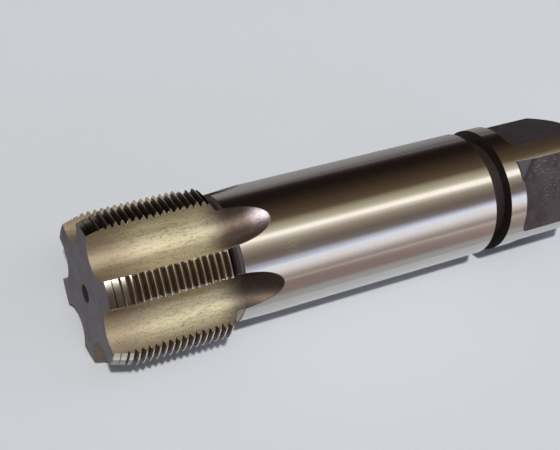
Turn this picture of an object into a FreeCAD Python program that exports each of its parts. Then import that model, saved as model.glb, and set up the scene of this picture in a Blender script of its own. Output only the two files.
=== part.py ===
import FreeCAD, Part
import math
import os

from FreeCAD import Vector

# A hand tap for a parallel pipe thread, all one piece of tool steel. Millimetres and degrees.
# The axis runs along X, from the threaded end to the square end, and Z is up.
# Angles about the axis are counted from +Y towards +Z.

# Lengths along the axis, one after the other from the threaded face
HEAD_LENGTH = 44.1
COLLAR_LENGTH = 2.5
SHANK_LENGTH = 98.9
GROOVE_WIDTH = 6.8
RING_LENGTH = 6.7
SQUARE_LENGTH = 35.0

# Thread: 55 degree form, right hand, 11 turns to the inch, with flat crests and roots
THREAD_DIAMETER = 53.746
PITCH = 2.3090909090909
THREAD_ANGLE = 55.0
THREAD_DEPTH = 1.82
CREST_FLAT = 0.30
CREST_START = 9.51
TOOTH_OVERRUN = 3.0

# Threaded head: the lead at the face and the cone at its back
FACE_DIAMETER = 48.64
LEAD_LENGTH = 8.4
REAR_CONE_LENGTH = 3.2

# Straight flutes, milled with a disc cutter that runs out on the shank
FLUTE_COUNT = 6
FLUTE_STRAIGHT = 37.8
CORE_RADIUS = 16.2
FLUTE_FLOOR_RADIUS = 7.7
FLUTE_WALL_ANGLE = 26.0
CUTTER_RADIUS = 42.5
RUNOUT_ANGLE = 45.0
RUNOUT_STEPS = 2

# Shank, its unground collar and its turned groove
SHANK_DIAMETER = 45.0
COLLAR_DIAMETER = 44.3
GROOVE_DIAMETER = 36.4

# Driving square, its turn about the axis and the chamfer at its end
SQUARE_ACROSS = 36.0
SQUARE_TURN = 46.75
SQUARE_ROOT_RADIUS = 3.0
END_CHAMFER = 6.2

# Shallow pit in one corner of a single flat
PIT_REACH = 8.4
PIT_START = 0.8
PIT_WIDTH = 9.0
PIT_DEPTH = 0.4

# Centre holes in both ends
CENTRE_MOUTH_DIAMETER = 6.2
CENTRE_PILOT_DIAMETER = 3.2
CENTRE_CONE_ANGLE = 60.0
CENTRE_DEPTH = 8.0

# Air that every cutting shape has past the metal
AIR = 2.0

AXIS = Vector(1, 0, 0)
ORIGIN = Vector(0, 0, 0)

# Places along the axis
COLLAR_START = HEAD_LENGTH
SHANK_START = COLLAR_START + COLLAR_LENGTH
GROOVE_START = SHANK_START + SHANK_LENGTH
RING_START = GROOVE_START + GROOVE_WIDTH
SQUARE_START = RING_START + RING_LENGTH
OVERALL_LENGTH = SQUARE_START + SQUARE_LENGTH

# Radii and the thread's own sizes
THREAD_RADIUS = THREAD_DIAMETER / 2
ROOT_RADIUS = THREAD_RADIUS - THREAD_DEPTH
FACE_RADIUS = FACE_DIAMETER / 2
COLLAR_RADIUS = COLLAR_DIAMETER / 2
SHANK_RADIUS = SHANK_DIAMETER / 2
FLANK_SLOPE = math.tan(math.radians(THREAD_ANGLE / 2))
FLUTE_SPACING = 360.0 / FLUTE_COUNT


def outline_face(points):
    """A face with straight sides through the points."""
    return Part.Face(Part.makePolygon(points + points[:1]))


def turned(points):
    """A solid of revolution: each point is a place along the axis and a radius."""
    profile = outline_face([Vector(x, radius, 0) for x, radius in points])
    return profile.revolve(ORIGIN, AXIS, 360)


def about_axis(shape, angle):
    """A copy of the shape, turned about the tap's axis."""
    copy = shape.copy()
    copy.rotate(ORIGIN, AXIS, angle)
    return copy


def turned_body():
    """The blank as it leaves the lathe and the grinder, with no flutes, teeth or flats."""
    outline = [
        (0, 0),
        (0, FACE_RADIUS),
        (LEAD_LENGTH, THREAD_RADIUS),
        (HEAD_LENGTH - REAR_CONE_LENGTH, THREAD_RADIUS),
        (HEAD_LENGTH, COLLAR_RADIUS),
        (SHANK_START, COLLAR_RADIUS),
        (SHANK_START, SHANK_RADIUS),
        (OVERALL_LENGTH - END_CHAMFER, SHANK_RADIUS),
        (OVERALL_LENGTH, SHANK_RADIUS - END_CHAMFER),
        (OVERALL_LENGTH, 0),
    ]
    return turned(outline)


def groove_ring():
    """The metal that the recessing tool takes out behind the ground shank."""
    floor = GROOVE_DIAMETER / 2
    top = SHANK_RADIUS + AIR
    return turned([(GROOVE_START, floor), (GROOVE_START, top), (RING_START, top), (RING_START, floor)])


def centre_hole():
    """A centre drilling that opens at the face where x is 0."""
    mouth = CENTRE_MOUTH_DIAMETER / 2
    pilot = CENTRE_PILOT_DIAMETER / 2
    cone = (mouth - pilot) / math.tan(math.radians(CENTRE_CONE_ANGLE / 2))
    outline = [
        (-AIR, 0),
        (-AIR, mouth),
        (0, mouth),
        (cone, pilot),
        (CENTRE_DEPTH, pilot),
        (CENTRE_DEPTH, 0),
    ]
    return turned(outline)


def flute_wall_start():
    """Where a flute's straight wall leaves the round floor: sideways and out from the axis."""
    slope = math.radians(FLUTE_WALL_ANGLE)
    sideways = FLUTE_FLOOR_RADIUS * math.cos(slope)
    outward = CORE_RADIUS + FLUTE_FLOOR_RADIUS * (1 - math.sin(slope))
    return sideways, outward


def flute_half_angle(radius):
    """Half of the angle that a flute takes out of a circle of this radius."""
    slope = math.radians(FLUTE_WALL_ANGLE)
    sideways, outward = flute_wall_start()
    along = sideways * math.sin(slope) + outward * math.cos(slope)
    rest = sideways ** 2 + outward ** 2 - radius ** 2
    run = math.sqrt(along ** 2 - rest) - along
    side = sideways + run * math.sin(slope)
    return math.degrees(math.asin(side / radius))


def flute_section(x, top):
    """The flute's section, open side at the radius top, on the +Y side of the axis."""
    slope = math.radians(FLUTE_WALL_ANGLE)
    sideways, outward = flute_wall_start()
    spread = sideways + (top - outward) * math.tan(slope)
    floor = Part.Arc(
        Vector(x, outward, -sideways),
        Vector(x, CORE_RADIUS, 0),
        Vector(x, outward, sideways),
    )
    walls = Part.makePolygon([
        Vector(x, outward, sideways),
        Vector(x, top, spread),
        Vector(x, top, -spread),
        Vector(x, outward, -sideways),
    ])
    return Part.Face(Part.Wire([floor.toShape()] + walls.Edges))


def flute_cutter():
    """The space that one pass of the disc cutter clears: a straight run and a round run-out."""
    top = THREAD_RADIUS + AIR
    cutter_axis = Vector(0, 0, 1)
    centre = Vector(FLUTE_STRAIGHT, CORE_RADIUS + CUTTER_RADIUS, 0)
    step = RUNOUT_ANGLE / RUNOUT_STEPS
    straight = flute_section(-AIR, top).extrude(Vector(FLUTE_STRAIGHT + AIR, 0, 0))
    runout = []
    for index in range(RUNOUT_STEPS):
        section = flute_section(FLUTE_STRAIGHT, top)
        section.rotate(centre, cutter_axis, index * step)
        runout.append(section.revolve(centre, cutter_axis, step))
    return straight.fuse(runout)


def flutes():
    """One cutter for each flute. A flute faces straight up, so that two lands carry the tap."""
    cutter = flute_cutter()
    return [about_axis(cutter, 90 + index * FLUTE_SPACING) for index in range(FLUTE_COUNT)]


def tooth_gap():
    """The gap between two crests of the thread on one land, swept along the helix.

    It is centred on the +Y direction, and its middle is at x = 0 there.
    """
    half_land = FLUTE_SPACING / 2 - flute_half_angle(ROOT_RADIUS)
    sweep = 2 * (half_land + TOOTH_OVERRUN)
    rise = PITCH * sweep / 360
    half_root = (PITCH - CREST_FLAT) / 2 - THREAD_DEPTH * FLANK_SLOPE
    outside = THREAD_RADIUS + CREST_FLAT / 2
    half_open = half_root + (outside - ROOT_RADIUS) * FLANK_SLOPE
    section = Part.makePolygon([
        Vector(ROOT_RADIUS, 0, -half_root),
        Vector(ROOT_RADIUS, 0, half_root),
        Vector(outside, 0, half_open),
        Vector(outside, 0, -half_open),
        Vector(ROOT_RADIUS, 0, -half_root),
    ])
    helix = Part.makeHelix(PITCH, rise, ROOT_RADIUS)
    gap = Part.Wire(helix.Edges).makePipeShell([section], True, True)
    gap.rotate(ORIGIN, Vector(0, 0, 1), -sweep / 2)
    gap.translate(Vector(0, 0, -rise / 2))
    gap.rotate(ORIGIN, Vector(1, 1, 1), 120)
    return gap


def tooth_gaps():
    """Every gap of the thread that touches metal, land by land, on one right-hand helix."""
    gap = tooth_gap()
    half_gap = (PITCH - CREST_FLAT) / 2
    first = LEAD_LENGTH * (ROOT_RADIUS - FACE_RADIUS) / (THREAD_RADIUS - FACE_RADIUS) - half_gap
    rear_slope = REAR_CONE_LENGTH / (THREAD_RADIUS - COLLAR_RADIUS)
    last = HEAD_LENGTH - REAR_CONE_LENGTH + THREAD_DEPTH * rear_slope + half_gap
    gaps = []
    for land in range(FLUTE_COUNT):
        angle = land * FLUTE_SPACING
        middle = CREST_START + PITCH / 2 + PITCH * angle / 360
        middle = middle - PITCH * math.floor((middle - first) / PITCH)
        while middle < last:
            placed = about_axis(gap, angle)
            placed.translate(Vector(middle, 0, 0))
            gaps.append(placed)
            middle = middle + PITCH
    return gaps


def flat_cutter():
    """The space outside one flat of the driving square, on the +Y side, with its root fillet."""
    depth = SQUARE_ACROSS / 2
    top = SHANK_RADIUS + AIR
    end = OVERALL_LENGTH + AIR
    bend = SQUARE_ROOT_RADIUS * (1 - math.sqrt(0.5))
    fillet = Part.Arc(
        Vector(SQUARE_START, depth + SQUARE_ROOT_RADIUS, 0),
        Vector(SQUARE_START + bend, depth + bend, 0),
        Vector(SQUARE_START + SQUARE_ROOT_RADIUS, depth, 0),
    )
    sides = Part.makePolygon([
        Vector(SQUARE_START + SQUARE_ROOT_RADIUS, depth, 0),
        Vector(end, depth, 0),
        Vector(end, top + SQUARE_ROOT_RADIUS, 0),
        Vector(SQUARE_START, top + SQUARE_ROOT_RADIUS, 0),
        Vector(SQUARE_START, depth + SQUARE_ROOT_RADIUS, 0),
    ])
    profile = Part.Face(Part.Wire([fillet.toShape()] + sides.Edges))
    profile.translate(Vector(0, 0, -top))
    return profile.extrude(Vector(0, 0, 2 * top))


def pit_cutter():
    """A shallow three-cornered pit where a flat meets its shoulder, deepest at the corner."""
    depth = SQUARE_ACROSS / 2
    top = SHANK_RADIUS + AIR
    half_flat = math.sqrt(SHANK_RADIUS ** 2 - depth ** 2)
    start = SQUARE_START - PIT_START
    end = SQUARE_START + PIT_REACH
    inner = -half_flat + PIT_WIDTH
    crest = Vector(end, depth, -half_flat)
    low = Vector(SQUARE_START + SQUARE_ROOT_RADIUS, depth, inner)
    deep = Vector(start, depth - PIT_DEPTH, -half_flat)
    normal = (low - crest).cross(deep - crest).normalize()
    if normal.y < 0:
        normal = -normal
    outline = outline_face([
        Vector(start, 0, -half_flat - AIR),
        Vector(end, 0, -half_flat - AIR),
        crest - Vector(0, depth, 0),
        low - Vector(0, depth, 0),
        Vector(start, 0, inner - SQUARE_ROOT_RADIUS),
    ])
    column = outline.extrude(Vector(0, top, 0))
    floor = Part.makePlane(2 * SQUARE_LENGTH, 2 * SQUARE_LENGTH, ORIGIN, normal)
    floor.translate(deep - floor.CenterOfMass)
    return column.common(floor.extrude(normal * SQUARE_LENGTH))


def driving_square():
    """The cutting shapes of the four flats, and the pit on the flat that faces front and up."""
    flat = flat_cutter()
    turns = [SQUARE_TURN + 90 * side for side in range(4)]
    return [about_axis(flat, turn) for turn in turns] + [about_axis(pit_cutter(), turns[1])]


def far_centre_hole():
    """The centre hole of the square end, facing the other way."""
    hole = centre_hole()
    hole.rotate(ORIGIN, Vector(0, 0, 1), 180)
    hole.translate(Vector(OVERALL_LENGTH, 0, 0))
    return hole


def pipe_tap():
    """The whole tap, its axis on X and its threaded face at x = 0."""
    blank = turned_body().cut([groove_ring(), centre_hole(), far_centre_hole()])
    squared = blank.cut(driving_square())
    fluted = squared.cut(flutes())
    return fluted.cut(tooth_gaps())


def laid_down(shape):
    """Move the tap to its own frame: the middle of its length over the origin, lands on z = 0."""
    rest_height = THREAD_RADIUS * math.cos(math.radians(flute_half_angle(THREAD_RADIUS)))
    shape.translate(Vector(-OVERALL_LENGTH / 2, 0, rest_height))
    return shape


os.makedirs("parts", exist_ok=True)
tap = laid_down(pipe_tap())
solid = tap.Solids[0]
print("solids", len(tap.Solids), "valid", tap.isValid(), "faces", len(tap.Faces))
print("volume mm3", round(tap.Volume, 1), "box", tap.BoundBox)
print("thread pitch mm", round(PITCH, 4), "flute half angle at the crest", flute_half_angle(THREAD_RADIUS))
solid.exportStep("parts/pipe_tap.step")
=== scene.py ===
import math

import bmesh
import bpy
from mathutils import Matrix, Vector


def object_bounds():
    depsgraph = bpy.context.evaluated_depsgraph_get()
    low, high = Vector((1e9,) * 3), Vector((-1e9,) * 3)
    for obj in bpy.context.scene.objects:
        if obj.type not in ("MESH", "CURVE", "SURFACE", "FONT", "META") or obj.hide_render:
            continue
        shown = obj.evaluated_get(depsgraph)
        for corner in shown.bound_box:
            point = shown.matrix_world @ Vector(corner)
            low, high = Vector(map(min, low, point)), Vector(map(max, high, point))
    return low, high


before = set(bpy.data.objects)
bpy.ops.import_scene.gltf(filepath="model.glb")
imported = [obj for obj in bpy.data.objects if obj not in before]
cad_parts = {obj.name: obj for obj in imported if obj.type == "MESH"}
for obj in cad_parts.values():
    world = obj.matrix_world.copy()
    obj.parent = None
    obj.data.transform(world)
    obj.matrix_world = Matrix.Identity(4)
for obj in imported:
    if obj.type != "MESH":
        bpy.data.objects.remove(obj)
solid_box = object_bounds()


# Bench
# The tap lies on a pale, matt bench top, one flat sheet whose edges are far outside the picture.
# Places and sizes are in metres, and only the tap's own, further down, are in millimetres.

BENCH_SIZE = 14.0
BENCH_COLOUR = (0.69, 0.70, 0.71, 1)
BENCH_ROUGHNESS = 0.9
BENCH_SHEEN = 0.2


class Socket:
    """A shader socket that takes part in plain arithmetic; each operation adds its Math node."""

    def __init__(self, shader, output):
        self.shader = shader
        self.output = output

    def maths(self, operation, *values):
        return self.shader.node("ShaderNodeMath", {"operation": operation}, dict(enumerate(values)))

    def __add__(self, other):
        return self.maths("ADD", self, other)

    def __radd__(self, other):
        return self.maths("ADD", other, self)

    def __sub__(self, other):
        return self.maths("SUBTRACT", self, other)

    def __rsub__(self, other):
        return self.maths("SUBTRACT", other, self)

    def __mul__(self, other):
        return self.maths("MULTIPLY", self, other)

    def __rmul__(self, other):
        return self.maths("MULTIPLY", other, self)

    def __truediv__(self, other):
        return self.maths("DIVIDE", self, other)

    def __rtruediv__(self, other):
        return self.maths("DIVIDE", other, self)

    def __mod__(self, other):
        return self.maths("FLOORED_MODULO", self, other)

    def __gt__(self, other):
        return self.maths("GREATER_THAN", self, other)

    def __lt__(self, other):
        return self.maths("LESS_THAN", self, other)

    def absolute(self):
        return self.maths("ABSOLUTE", self)

    def root(self):
        return self.maths("SQRT", self)

    def sine(self):
        return self.maths("SINE", self)

    def cosine(self):
        return self.maths("COSINE", self)

    def larger(self, other):
        return self.maths("MAXIMUM", self, other)

    def smaller(self, other):
        return self.maths("MINIMUM", self, other)

    def angle_over(self, reach):
        """The angle, in degrees above level, of a point this high and reach far out."""
        return self.maths("ARCTAN2", self, reach) * math.degrees(1)

    def rise(self, low, high):
        """0 below low and 1 above high, with a smooth change between them."""
        settings = {"interpolation_type": "SMOOTHSTEP"}
        values = {"Value": self, "From Min": low, "From Max": high}
        return self.shader.node("ShaderNodeMapRange", settings, values)

    def between(self, low, high, edge):
        """1 from low to high and 0 outside, with soft edges."""
        return self.rise(low - edge, low + edge) * (1 - self.rise(high - edge, high + edge))

    def replaced(self, mask, other):
        """This value, with other in its place where the mask is 1."""
        return self * (1 - mask) + mask * other


class Shader:
    """One material's or world's node tree, with a single way to add a node."""

    # The sockets of a Mix node that mixes colours
    MIX_SHARE = 0
    MIX_UNDER = 6
    MIX_OVER = 7
    MIX_RESULT = 2

    def __init__(self, owner):
        owner.use_nodes = True
        self.tree = owner.node_tree
        self.tree.nodes.clear()

    def node(self, kind, settings=None, values=None, output=0):
        made = self.tree.nodes.new(kind)
        for name, setting in (settings or {}).items():
            if name == "stops":
                self.set_stops(made.color_ramp, setting)
            else:
                setattr(made, name, setting)
        for name, value in (values or {}).items():
            if isinstance(value, Socket):
                self.tree.links.new(value.output, made.inputs[name])
            else:
                made.inputs[name].default_value = value
        return Socket(self, made.outputs[output]) if len(made.outputs) else made

    def set_stops(self, ramp, stops):
        while len(ramp.elements) < len(stops):
            ramp.elements.new(0.5)
        for element, (place, colour) in zip(ramp.elements, stops):
            element.position = place
            element.color = (*colour, 1)

    def blend(self, share, under, over, how="MIX"):
        """One colour laid over another."""
        settings = {"data_type": "RGBA", "blend_type": how}
        values = {self.MIX_SHARE: share, self.MIX_UNDER: under, self.MIX_OVER: over}
        return self.node("ShaderNodeMix", settings, values, self.MIX_RESULT)

    def coats(self, colour, *layers):
        """A colour with more laid over it in turn, each given as its share and its colour."""
        for share, over in layers:
            colour = self.blend(share, colour, over)
        return colour

    def noise(self, place, scale, detail, roughness):
        values = {"Vector": place, "Scale": scale, "Detail": detail, "Roughness": roughness}
        return self.node("ShaderNodeTexNoise", {}, values)

    def grained(self, place, scales, detail, roughness):
        """Noise whose three directions are scaled apart, for a pattern with a grain."""
        stretched = self.node("ShaderNodeMapping", {}, {"Vector": place, "Scale": scales})
        return self.noise(stretched, 1.0, detail, roughness)

    def object_place(self):
        """The surface point's place in the object's own coordinates."""
        return self.node("ShaderNodeTexCoord", output="Object")

    def parts(self, vector):
        made = self.node("ShaderNodeSeparateXYZ", {}, {"Vector": vector}).output.node
        return [Socket(self, made.outputs[index]) for index in range(3)]


def new_piece(name, mesh_builder):
    """A new object at the origin from a bmesh that mesh_builder fills."""
    shape = bmesh.new()
    mesh_builder(shape)
    mesh = bpy.data.meshes.new(name)
    shape.to_mesh(mesh)
    shape.free()
    piece = bpy.data.objects.new(name, mesh)
    bpy.context.scene.collection.objects.link(piece)
    return piece


def bench_form(shape):
    bmesh.ops.create_grid(shape, x_segments=1, y_segments=1, size=BENCH_SIZE / 2)


bench = new_piece("bench", bench_form)
bench_material = bpy.data.materials.new("bench_top")
bench_shader = Shader(bench_material)
bench_surface = bench_shader.node("ShaderNodeBsdfPrincipled", {}, {
    "Base Color": BENCH_COLOUR,
    "Roughness": BENCH_ROUGHNESS,
    "Specular IOR Level": BENCH_SHEEN,
})
bench_shader.node("ShaderNodeOutputMaterial", {}, {"Surface": bench_surface})
bench.data.materials.append(bench_material)


# Light tent
# The upper half of a long, glowing tube of cloth over the bench. Its strips, bright and dark, run along
# the tap, so that the ground shank shows them as long bands. It lights the scene and shows in
# reflections, and the camera doesn't see it.

TENT_RADIUS = 1.5
TENT_LENGTH = 7.0
TENT_SEGMENTS = 96
TENT_CUT = -0.001

# Each strip has its angle in degrees, from the back over the top to the front, and its level of light
STRIP_PEAK = 1.8
WINDOW_ANGLE = 138
TENT_STRIPS = [
    (0, (0.26, 0.24, 0.24)),
    (4, (0.13, 0.11, 0.11)),
    (9, (0.040, 0.031, 0.030)),
    (18, (0.018, 0.012, 0.010)),
    (34, (0.022, 0.014, 0.010)),
    (50, (0.056, 0.038, 0.025)),
    (66, (0.112, 0.076, 0.048)),
    (77, (0.17, 0.12, 0.075)),
    (82, (0.42, 0.36, 0.25)),
    (90, (0.68, 0.63, 0.48)),
    (95, (0.95, 0.90, 0.76)),
    (98, (1.74, 1.67, 1.52)),
    (105, (1.80, 1.74, 1.62)),
    (108, (0.92, 0.87, 0.76)),
    (112, (0.54, 0.48, 0.40)),
    (120, (0.35, 0.29, 0.235)),
    (128, (0.23, 0.19, 0.165)),
    (WINDOW_ANGLE, (0.28, 0.24, 0.235)),
]

# A bluish window low in front, and the dark cloth beside it towards the threaded end
WINDOW_STRIPS = [
    (WINDOW_ANGLE, (0.28, 0.24, 0.235)),
    (143, (0.62, 0.66, 0.82)),
    (148, (1.20, 1.30, 1.55)),
    (160, (1.20, 1.18, 1.22)),
    (168, (0.84, 0.76, 0.73)),
    (174, (0.52, 0.45, 0.43)),
    (180, (0.43, 0.37, 0.35)),
]
WINDOW_SIDE = (0.0, 0.30)
BESIDE_WINDOW = (0.085, 0.068, 0.062, 1)

# The darker stretch beyond the threaded face, which ends in one bright panel overhead
NEAR_STRIPS = [
    (0, (0.16, 0.14, 0.13)),
    (8, (0.030, 0.024, 0.022)),
    (90, (0.030, 0.022, 0.020)),
    (98, (1.10, 1.00, 0.90)),
    (105, (0.95, 0.85, 0.75)),
    (111, (0.055, 0.042, 0.042)),
    (150, (0.045, 0.034, 0.034)),
    (180, (0.10, 0.085, 0.080)),
]
NEAR_SIDE = (-0.62, -0.30)
PANEL_ANGLES = (62, 104, 3)
PANEL_SIDE = (-0.80, -0.62)
PANEL_COLOUR = (1, 0.96, 0.98, 1)
PANEL_GLOW = 6.0

# The tent's light on matt surfaces is weaker and bluer than what shows in reflections
FILL_SHARE = 0.62
FILL_TINT = (0.82, 0.98, 1.28, 1)


def tent_form(shape):
    """The upper half of an open tube that lies along the tap."""
    bmesh.ops.create_cone(shape, segments=TENT_SEGMENTS, radius1=TENT_RADIUS, radius2=TENT_RADIUS,
                          depth=TENT_LENGTH, cap_ends=False)
    bmesh.ops.rotate(shape, verts=shape.verts, matrix=Matrix.Rotation(math.radians(90), 3, "Y"))
    below = [vert for vert in shape.verts if vert.co.z < TENT_CUT]
    bmesh.ops.delete(shape, geom=below, context="VERTS")
    bmesh.ops.recalc_face_normals(shape, faces=shape.faces)
    bmesh.ops.reverse_faces(shape, faces=shape.faces)


tent = new_piece("light_tent", tent_form)
tent_material = bpy.data.materials.new("light_tent")
tent_shader = Shader(tent_material)
tent_x, tent_y, tent_z = tent_shader.parts(tent_shader.object_place())
tent_angle = tent_z.angle_over(tent_y)


def strip_colour(strips):
    """The colour of a list of strips, by the angle round the tent."""
    stops = [(degrees / 180, tuple(level / STRIP_PEAK for level in colour)) for degrees, colour in strips]
    return tent_shader.node("ShaderNodeValToRGB", {"stops": stops}, {"Fac": tent_angle / 180})


window_colour = tent_shader.blend(tent_x.rise(*WINDOW_SIDE), BESIDE_WINDOW, strip_colour(WINDOW_STRIPS))
tent_fill = tent_shader.node("ShaderNodeLightPath", output="Is Diffuse Ray")
panel = tent_angle.between(*PANEL_ANGLES) * (1 - tent_x.rise(*PANEL_SIDE)) * (1 - tent_fill)
tent_colour = tent_shader.blend(tent_angle > WINDOW_ANGLE, strip_colour(TENT_STRIPS), window_colour)
tent_colour = tent_shader.blend(tent_x.rise(*NEAR_SIDE), strip_colour(NEAR_STRIPS), tent_colour)
tent_colour = tent_shader.blend(panel, tent_colour, PANEL_COLOUR)
tent_colour = tent_shader.blend(tent_fill, tent_colour, FILL_TINT, "MULTIPLY")
tent_glow = tent_shader.node("ShaderNodeEmission", {}, {
    "Color": tent_colour,
    "Strength": STRIP_PEAK * (1 - tent_fill * (1 - FILL_SHARE)) + panel * PANEL_GLOW,
})
tent_shader.node("ShaderNodeOutputMaterial", {}, {"Surface": tent_glow})
tent.data.materials.append(tent_material)
tent.visible_camera = False
tent.visible_shadow = False


# Bench cards
# Two glowing cards lie just above the bench, brown in front of the tap and grey behind it. Only
# reflections see them: they make the brown band low on the shank and the grey one along its top.

CARD_LIFT = 0.0006
CARD_FAR = 1.4
CARD_HALF_WIDTH = 1.6
FRONT_CARD_NEAR = 0.044
BACK_CARD_NEAR = 0.034
FRONT_BROWN = (0.37, 0.285, 0.265, 1)
FRONT_PALE_BROWN = (0.68, 0.59, 0.56, 1)
FRONT_PALE_START = (0.04, 0.30)
FRONT_GREY = (0.50, 0.50, 0.52, 1)
FRONT_GREY_START = (-0.078, -0.056)
BACK_GREY = (0.36, 0.35, 0.36, 1)
BACK_DARK_GREY = (0.17, 0.165, 0.17, 1)
BACK_DARK_START = (0.0, 0.30)


def card_pair_form(shape):
    for side, near in ((-1, FRONT_CARD_NEAR), (1, BACK_CARD_NEAR)):
        corners = [(-CARD_HALF_WIDTH, side * near), (CARD_HALF_WIDTH, side * near),
                   (CARD_HALF_WIDTH, side * CARD_FAR), (-CARD_HALF_WIDTH, side * CARD_FAR)]
        bmesh.ops.contextual_create(shape, geom=[shape.verts.new((x, y, CARD_LIFT)) for x, y in corners])


cards = new_piece("bench_cards", card_pair_form)
card_material = bpy.data.materials.new("bench_cards")
card_shader = Shader(card_material)
card_x, card_y = card_shader.parts(card_shader.object_place())[:2]
front_colour = card_shader.coats(
    FRONT_BROWN,
    (card_x.rise(*FRONT_PALE_START), FRONT_PALE_BROWN),
    (card_y.rise(*FRONT_GREY_START), FRONT_GREY),
)
back_colour = card_shader.blend(card_x.rise(*BACK_DARK_START), BACK_GREY, BACK_DARK_GREY)
card_colour = card_shader.blend(card_y > 0, front_colour, back_colour)
card_glow = card_shader.node("ShaderNodeEmission", {}, {"Color": card_colour})
card_shader.node("ShaderNodeOutputMaterial", {}, {"Surface": card_glow})
cards.data.materials.append(card_material)
cards.visible_camera = False
cards.visible_diffuse = False
cards.visible_shadow = False


# Lamp and room
# One lamp high above, a little towards the threaded end and the front, gives the tap its narrow shadow.
# The room gives an even, bluish light, a little brighter where it is seen or mirrored.

LAMP_STRENGTH = 2.2
LAMP_SPREAD = math.radians(2.6)
LAMP_FROM = Vector((-0.26, -0.245, 1))
ROOM_COLOUR = (0.74, 0.87, 1.0, 1)
ROOM_FILL = 0.68
ROOM_SEEN_EXTRA = 0.27

lamp_data = bpy.data.lights.new("ceiling_lamp", "SUN")
lamp_data.energy = LAMP_STRENGTH
lamp_data.angle = LAMP_SPREAD
lamp = bpy.data.objects.new("ceiling_lamp", lamp_data)
lamp.location = LAMP_FROM
lamp.rotation_euler = LAMP_FROM.to_track_quat("Z", "Y").to_euler()
bpy.context.scene.collection.objects.link(lamp)

room = bpy.context.scene.world or bpy.data.worlds.new("room")
bpy.context.scene.world = room
room_shader = Shader(room)
seen = room_shader.node("ShaderNodeLightPath", output="Is Camera Ray")
mirrored = room_shader.node("ShaderNodeLightPath", output="Is Glossy Ray")
passed = room_shader.node("ShaderNodeLightPath", output="Is Transmission Ray")
room_glow = room_shader.node("ShaderNodeBackground", {}, {
    "Color": ROOM_COLOUR,
    "Strength": ROOM_FILL + ROOM_SEEN_EXTRA * seen.larger(mirrored).larger(passed),
})
room_shader.node("ShaderNodeOutputWorld", {}, {"Surface": room_glow})


# Tap
# One piece of hardened tool steel: turned, thread-cut, milled along six flutes, hardened dark, and then
# ground bright on its shank, its ring and its teeth's crests. The solid is the visible mesh, in one
# material that finds each surface by its place along the axis and round it.

MM = 1000.0
FACE_X = solid_box[0][0]
AXIS_HEIGHT = 0.02524136
TAP_LENGTH = (solid_box[1][0] - FACE_X) * MM

steel = bpy.data.materials.new("tool_steel")
shader = Shader(steel)
place = shader.object_place()
raw_x, raw_y, raw_z = shader.parts(place)
along = (raw_x - FACE_X) * MM
across = raw_y * MM
height = (raw_z - AXIS_HEIGHT) * MM
radius = (across * across + height * height).root()
angle = height.angle_over(across)

# From here on places are in millimetres from the threaded face and from the axis, as in the solid, and
# angles in degrees, from the back over the top to the front.
# The six flutes have a round floor and straight walls, raised at the run-out by the cutter's own radius.
FLUTE_STEP = 60
FLUTE_STRAIGHT = 37.8
FLUTE_END = 62
FLUTE_EDGE = (0.10, 0.18)
CORE_RADIUS = 16.2
FLOOR_RADIUS = 7.7
WALL_ANGLE = math.radians(26)
CUTTER_RADIUS = 42.5

flute_turn = ((angle + 360) % FLUTE_STEP - FLUTE_STEP / 2) * math.radians(1)
sideways = radius * flute_turn.sine().absolute()
outwards = radius * flute_turn.cosine()
past_straight = (along - FLUTE_STRAIGHT).larger(0)
cutter_height = CORE_RADIUS + CUTTER_RADIUS
from_cutter = cutter_height - outwards
level = cutter_height - (past_straight * past_straight + from_cutter * from_cutter).root()
wall_side = FLOOR_RADIUS * math.cos(WALL_ANGLE)
wall_level = CORE_RADIUS + FLOOR_RADIUS * (1 - math.sin(WALL_ANGLE))
off_wall = sideways - (wall_side + (level - wall_level) * math.tan(WALL_ANGLE))
above_centre = level - (CORE_RADIUS + FLOOR_RADIUS)
off_floor = (above_centre * above_centre + sideways * sideways).root() - FLOOR_RADIUS
off_flute = off_floor.replaced(level > wall_level, off_wall)
in_flute = (1 - off_flute.rise(*FLUTE_EDGE)) * (along < FLUTE_END)

# The turned rings along the axis. A mask reaches EDGE past its ring's end, and SKIN is the least depth
# below the ground surface that counts as below it.
HEAD_END = 44.1
COLLAR_END = 46.6
COLLAR_RADIUS = 22.15
GROOVE_START = 145.5
GROOVE_END = 152.3
SHANK_RADIUS = 22.5
CENTRE_RADIUS = 3.1
EDGE = 0.02
SKIN = 0.03

in_head = along < HEAD_END - EDGE
on_face = along < SKIN
in_centre = radius < CENTRE_RADIUS + EDGE
in_collar = (along > HEAD_END - EDGE) * (along < COLLAR_END + EDGE) * (1 - in_flute)
below_shank = radius < SHANK_RADIUS - SKIN
in_groove = (along > GROOVE_START - EDGE) * (along < GROOVE_END + EDGE) * below_shank

# The teeth's crests, with small chips, under the lead cone, at full height and under the rear cone
THREAD_RADIUS = 26.873
FACE_RADIUS = 24.32
LEAD_LENGTH = 8.4
LEAD_SLOPE = (THREAD_RADIUS - FACE_RADIUS) / LEAD_LENGTH
REAR_CONE_START = 40.9
REAR_CONE_EDGE = 0.1
REAR_SLOPE = (THREAD_RADIUS - COLLAR_RADIUS) / (HEAD_END - REAR_CONE_START)
CHIP_DEPTH = 0.16
CREST_EDGE = (-0.14, -0.04)

lead_top = FACE_RADIUS + along * LEAD_SLOPE
rear_top = THREAD_RADIUS - (along - REAR_CONE_START) * REAR_SLOPE
crest_top = lead_top.smaller(THREAD_RADIUS).smaller(rear_top)
chips = shader.noise(place, 1300, 2.0, 0.7)
crest = (radius - crest_top + (chips - 0.5) * CHIP_DEPTH).rise(*CREST_EDGE)
rear_cone = along.rise(REAR_CONE_START - REAR_CONE_EDGE, REAR_CONE_START + REAR_CONE_EDGE)

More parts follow.
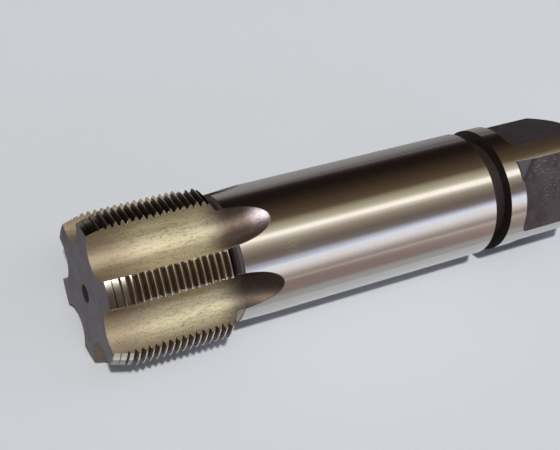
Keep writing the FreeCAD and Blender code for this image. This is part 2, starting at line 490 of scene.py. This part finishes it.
# The square's flats, with painted shade at their root on the ring. The pit in one flat starts in the ring
# and has a dark rim, and painted shade at its foot where its wall comes down.
SQUARE_START = 159.0
SQUARE_TURN = 46.75
FLAT_DEPTH = 18.0
FLAT_SKIN = 0.012
ROOT_FADE = (SQUARE_START + 0.1, SQUARE_START + 0.9)
PIT_REACH = 0.85
PIT_END = 168.5
PIT_RIM_DEPTH = 0.10
PIT_WALL_REACH = 0.8
PIT_WALL_SLOPE = 0.62
PIT_FOOT_FADE = (0.5, 1.0)

in_square = (along > SQUARE_START - PIT_REACH) * below_shank * (along < TAP_LENGTH - SKIN)
square_turn = ((angle - SQUARE_TURN + 405) % 90 - 45) * math.radians(1)
flat_level = radius * square_turn.cosine()
near_pit = in_square * (along < PIT_END)
in_pit = near_pit * (flat_level < FLAT_DEPTH - FLAT_SKIN)
pit_rim = near_pit * flat_level.between(FLAT_DEPTH - PIT_RIM_DEPTH, FLAT_DEPTH - FLAT_SKIN, FLAT_SKIN)
past_pit_wall = along - SQUARE_START + PIT_WALL_REACH - (SHANK_RADIUS - radius) * PIT_WALL_SLOPE
# painted shade at the pit's foot
pit_foot_shade = in_pit * (1 - past_pit_wall.rise(*PIT_FOOT_FADE))
# painted shade at the flats' root on the ring
root_shade = in_square * (1 - along.rise(*ROOT_FADE)) * (1 - in_pit)

# Patterns: fine lines along the flutes, fine rings on what was turned, soft clouds and specks on scale
grain_along = shader.grained(place, (320, 1700, 1700), 4.0, 0.65)
streak_along = shader.grained(place, (25, 380, 380), 3.0, 0.55)
rings = shader.grained(place, (4200, 25, 25), 2.0, 0.5)
clouds = shader.noise(place, 160, 4.0, 0.6)
patches = shader.noise(place, 45, 2.0, 0.5)
specks = shader.noise(place, 1500, 2.0, 0.6)
dots = shader.node("ShaderNodeTexVoronoi", {"feature": "F1"}, {"Vector": place, "Scale": 420})
dark_dots = 1 - dots.rise(0.10, 0.22)

# Ground shank, ring and corner strips, with faint streaks near the run-outs where the shank was rubbed
GROUND_STEEL = (0.56, 0.54, 0.51, 1)
RING_STEEL = (0.42, 0.39, 0.36, 1)
WARM_STEEL = (0.46, 0.39, 0.30, 1)
RUBBED_STEEL = (0.74, 0.68, 0.56, 1)
RUBBED_ALONG = (60.5, 67, 2.5)
RUBBED_ANGLES = (116, 125, 4)

rub_marks = shader.grained(place, (260, 1500, 1500), 3.0, 0.7)
rubbed = rub_marks.rise(0.42, 0.66) * along.between(*RUBBED_ALONG) * angle.between(*RUBBED_ANGLES)
shank_colour = shader.coats(
    GROUND_STEEL,
    (rings.rise(0.3, 0.8) * 0.12, RING_STEEL),
    (patches.rise(0.45, 0.75) * 0.10, WARM_STEEL),
    (rubbed * 0.35, RUBBED_STEEL),
)

# Flutes: straw near the middle, with dark lines, specks and dots. Painted shade browns them up the walls,
# most on the lower flutes, towards the face and on the underside.
STRAW = (0.585, 0.540, 0.395, 1)
STRAW_DEEP = (0.425, 0.375, 0.245, 1)
STRAW_LINE = (0.27, 0.22, 0.125, 1)
WALL_SHADE = (0.19, 0.148, 0.095, 1)
WALL_RISE = (20.5, 25.2)
WALL_SHADE_ANGLES = (105, 125)
FLUTE_FACE_SHADE = (0.23, 0.175, 0.12, 1)
FLUTE_FACE_SHADE_END = (3, 22)
UNDERSIDE_SHADE = (0.13, 0.095, 0.08, 1)
UNDERSIDE_SHADE_ANGLES = (-122, -112)
SPECK_BROWN = (0.14, 0.10, 0.055, 1)
DOT_BROWN = (0.10, 0.07, 0.04, 1)

# painted shade up the flute walls, most on the lower flutes
wall_shade_share = outwards.rise(*WALL_RISE) * (0.5 + angle.rise(*WALL_SHADE_ANGLES) * 0.4)
flute_colour = shader.coats(
    STRAW_DEEP,
    (0.35 + streak_along.rise(0.3, 0.7) * 0.65, STRAW),
    ((1 - grain_along.rise(0.36, 0.50)) * 0.5, STRAW_LINE),
    (wall_shade_share, WALL_SHADE),
    # painted shade in the flutes towards the threaded face
    ((1 - along.rise(*FLUTE_FACE_SHADE_END)) * 0.66, FLUTE_FACE_SHADE),
    # painted shade on the flutes underneath
    ((1 - angle.rise(*UNDERSIDE_SHADE_ANGLES)) * 0.6, UNDERSIDE_SHADE),
    (specks.rise(0.58, 0.68) * 0.55, SPECK_BROWN),
    (dark_dots * patches.rise(0.52, 0.62) * 0.7, DOT_BROWN),
)

# Run-outs: brown steel with dark cutter marks. Painted shade makes the lower one a little deeper, and a
# painted highlight makes the front side of the upper one paler and its tip palest.
RUNOUT_STEEL = (0.086, 0.065, 0.053, 1)
RUNOUT_START = (36, 49)
LOW_RUNOUT_SHADE = (0.025, 0.018, 0.014, 1)
LOW_RUNOUT_SHADE_START = (41, 47)
LOW_RUNOUT_SHADE_ANGLES = (149, 161)
SIDE_RUNOUT_HIGHLIGHT = (0.25, 0.195, 0.155, 1)
SIDE_RUNOUT_HIGHLIGHT_START = (42, 48)
SIDE_RUNOUT_HIGHLIGHT_ANGLES = (95, 112, 4)
TIP_HIGHLIGHT = (0.54, 0.50, 0.50, 1)
TIP_HIGHLIGHT_START = (52, 61.5)
TIP_HIGHLIGHT_ANGLES = (86, 100)
CUTTER_MARK = (0.03, 0.02, 0.015, 1)
CUTTER_MARK_START = (40, 48)

cutter_marks = shader.grained(place, (900, 2600, 900), 3.0, 0.6)
flute_colour = shader.coats(
    flute_colour,
    (along.rise(*RUNOUT_START), RUNOUT_STEEL),
    # painted shade on the lower run-out
    (along.rise(*LOW_RUNOUT_SHADE_START) * angle.rise(*LOW_RUNOUT_SHADE_ANGLES) * 0.15, LOW_RUNOUT_SHADE),
    # painted highlight on the front side of the upper run-out
    (along.rise(*SIDE_RUNOUT_HIGHLIGHT_START) * angle.between(*SIDE_RUNOUT_HIGHLIGHT_ANGLES) * 0.7, SIDE_RUNOUT_HIGHLIGHT),
    # painted highlight at the run-out's tip
    (along.rise(*TIP_HIGHLIGHT_START) * (1 - angle.rise(*TIP_HIGHLIGHT_ANGLES)), TIP_HIGHLIGHT),
    (along.rise(*CUTTER_MARK_START) * (0.4 - cutter_marks.rise(0.35, 0.65) * 0.4), CUTTER_MARK),
)

# Teeth: dark flanks, bright ground crests, and burrs at the flutes painted as bright glints. Painted
# shade darkens the lands at the back, the first turn is only a faint line in the lead, and the rear cone
# has kept its scale.
FLANK_STEEL = (0.15, 0.105, 0.075, 1)
FLANK_BROWN = (0.17, 0.125, 0.085, 1)
FLANK_LINE = (0.50, 0.40, 0.27, 1)
CREST_STEEL = (0.74, 0.69, 0.58, 1)
BACK_LAND_SHADE = (0.03, 0.022, 0.018, 1)
BACK_LAND_SHADE_ANGLES = (76, 98)
BURR_GLINT = (0.95, 0.88, 0.70, 1)
BURR_GLINT_WIDTH = (0.35, 0.75)
PITCH = 2.309
FIRST_ROOT = 10.665
FAINT_LINE = (0.05, 0.038, 0.034, 1)
FAINT_LINE_WIDTH = (0.10, 0.24)
FAINT_LINE_END = 3.4
DEEP_SCALE = (0.019, 0.013, 0.012, 1)

full_thread = along > LEAD_LENGTH
# painted shade on the lands at the back
back_land_shade = (1 - angle.rise(*BACK_LAND_SHADE_ANGLES)) * (1 - crest * full_thread * 0.6)
# burrs at the flute edges, painted with bright glints
burr_glint = (1 - off_flute.rise(*BURR_GLINT_WIDTH)) * chips.rise(0.52, 0.58) * full_thread * (1 - in_flute)
helix = along - FIRST_ROOT - PITCH / 360 * (angle + 360)
from_root = (helix + PITCH / 2) % PITCH - PITCH / 2
faint_line = (1 - from_root.absolute().rise(*FAINT_LINE_WIDTH)) * (along < FAINT_LINE_END)
thread_colour = shader.coats(
    FLANK_STEEL,
    (clouds.rise(0.35, 0.7), FLANK_BROWN),
    (rings.rise(0.55, 0.75) * 0.5, FLANK_LINE),
    (crest * (1 - rear_cone), CREST_STEEL),
    (back_land_shade * 0.65, BACK_LAND_SHADE),
    (burr_glint, BURR_GLINT),
    (faint_line * 0.85, FAINT_LINE),
    (rear_cone, DEEP_SCALE),
)

# Scale on the end face, on the collar and in the groove, and the centre hole painted nearly black as shade.
# Painted shade darkens the collar next to the rear cone, and a painted reflection of the bench makes it
# palest low in front.
FACE_SCALE = (0.049, 0.036, 0.046, 1)
FACE_PALE = (0.085, 0.073, 0.080, 1)
CENTRE_SHADE = (0.02, 0.017, 0.018, 1)
COLLAR_CORNER_SHADE = (0.024, 0.018, 0.019, 1)
COLLAR_CORNER_SHADE_END = (45.1, 45.8)
COLLAR_SCALE = (0.076, 0.066, 0.070, 1)
COLLAR_REFLECTION = (0.42, 0.39, 0.34, 1)
COLLAR_REFLECTION_TOP = (2, 8)
GROOVE_SCALE = (0.043, 0.029, 0.029, 1)
GROOVE_FLOOR_TOP = (18.25, 18.6)

face_colour = shader.blend(clouds.rise(0.35, 0.7), FACE_SCALE, FACE_PALE)
# painted reflection of the bench, low in front on the collar
low_front_reflection = (1 - height.rise(*COLLAR_REFLECTION_TOP)) * (across < 0)
collar_colour = shader.coats(
    # painted shade on the collar next to the rear cone
    COLLAR_CORNER_SHADE,
    (along.rise(*COLLAR_CORNER_SHADE_END), COLLAR_SCALE),
    (low_front_reflection * 0.8, COLLAR_REFLECTION),
)
groove_floor = 1 - radius.rise(*GROOVE_FLOOR_TOP)
groove_colour = shader.blend(groove_floor, DEEP_SCALE, GROOVE_SCALE)

# Scale on the square: clouds, dots, specks and scuffs, with painted shade on the upper flat
SQUARE_SCALE = (0.038, 0.027, 0.030, 1)
SQUARE_CLOUD = (0.072, 0.056, 0.058, 1)
SQUARE_DOT = (0.035, 0.028, 0.028, 1)
SQUARE_SPECK = (0.26, 0.23, 0.23, 1)
SCUFFED_SCALE = (0.30, 0.27, 0.27, 1)
UPPER_FLAT_SHADE = (0.012, 0.011, 0.012, 1)
UPPER_FLAT_ANGLES = (88, 94)
PIT_SCALE = (0.095, 0.078, 0.092, 1)
PIT_LINE_AND_SHADE = (0.022, 0.016, 0.018, 1)

scuffs = shader.grained(place, (800, 2400, 2400), 2.0, 0.5)
upper_flat = 1 - angle.rise(*UPPER_FLAT_ANGLES)
square_colour = shader.coats(
    SQUARE_SCALE,
    (clouds.rise(0.3, 0.7), SQUARE_CLOUD),
    (dark_dots * 0.6, SQUARE_DOT),
    (specks.rise(0.64, 0.74) * 0.35, SQUARE_SPECK),
    (scuffs.rise(0.62, 0.68) * patches.rise(0.40, 0.55) * 0.6, SCUFFED_SCALE),
    # painted shade on the upper flat
    (upper_flat * 0.55, UPPER_FLAT_SHADE),
)

# All the surfaces together, each in its own place
colour = shader.coats(
    shank_colour,
    (in_head, thread_colour),
    (in_collar, collar_colour),
    (in_groove, groove_colour),
    (in_square, square_colour),
    (in_pit, PIT_SCALE),
    # painted shade at the flats' root and the pit's foot, and a dark line on the pit's rim
    (pit_rim.larger(root_shade).larger(pit_foot_shade) * 0.85, PIT_LINE_AND_SHADE),
    (in_flute, flute_colour),
    (on_face, face_colour),
    # the centre hole, painted nearly black as shade
    (in_centre, CENTRE_SHADE),
)

# Ground steel is nearly a mirror, scale is dull and only partly metallic, and the flutes lie between
RUNOUT_POLISH_START = (36, 43)

dull = in_groove.larger(in_square).larger(on_face).larger(in_collar).larger(in_centre)
flank = in_head * (1 - crest) * (1 - in_flute)
roughness = 0.085 + rings * 0.05 + rubbed * 0.16
roughness = roughness.replaced(dull, 0.44 + clouds * 0.12)
roughness = roughness.replaced(in_square, 0.72 + clouds * 0.1)
roughness = roughness.replaced(in_head, 0.12 + flank * 0.28)
roughness = roughness.replaced(in_flute, 0.54 + grain_along * 0.12 - along.rise(*RUNOUT_POLISH_START) * 0.08)
roughness = roughness.replaced(on_face, 0.48)
roughness = roughness.replaced(in_centre, 0.95)
metallic = 1 - 0.45 * dull - 0.25 * in_square + 0.3 * in_square * upper_flat - 0.8 * burr_glint * in_head

# Relief: ripples and rings on ground steel, the grain of the flutes, and rough scale
RELIEF_STRENGTH = 0.35
RELIEF_HEIGHT = 0.00006

ripple = shader.grained(place, (9, 240, 240), 3.0, 0.6)
ground_lift = ((rings - 0.5) * 0.15 + (ripple - 0.5) * 0.5) * (1 - in_flute) * (1 - dull)
flute_lift = (grain_along - 0.5) * in_flute
scale_lift = (clouds - 0.5) * dull * 1.5 + (specks - 0.5) * dull * 0.5
relief = shader.node("ShaderNodeBump", {}, {
    "Height": ground_lift + flute_lift + scale_lift,
    "Strength": RELIEF_STRENGTH,
    "Distance": RELIEF_HEIGHT,
})
steel_surface = shader.node("ShaderNodeBsdfPrincipled", {}, {
    "Base Color": colour,
    "Roughness": roughness,
    "Metallic": metallic,
    "Normal": relief,
})
shader.node("ShaderNodeOutputMaterial", {}, {"Surface": steel_surface})

tap = bpy.data.objects["pipe_tap"]
tap.data.materials.clear()
tap.data.materials.append(steel)


# Camera
# It stands over the front of the threaded end and looks along the tap, as in the photograph.

CAMERA_SENSOR = 36
CAMERA_LENS = 77.83
CAMERA_NEAREST = 0.01
CAMERA_PLACE = (-0.196318, -0.155837, 0.371629)
CAMERA_TURNS = (31.3895, -14.7351, -24.1822)

camera_data = bpy.data.cameras.new("camera")
camera_data.sensor_width = CAMERA_SENSOR
camera_data.lens = CAMERA_LENS
camera_data.clip_start = CAMERA_NEAREST
camera = bpy.data.objects.new("camera", camera_data)
camera.location = CAMERA_PLACE
camera.rotation_euler = [math.radians(turn) for turn in CAMERA_TURNS]
bpy.context.scene.collection.objects.link(camera)
bpy.context.scene.camera = camera
bpy.context.scene.view_settings.view_transform = "Standard"
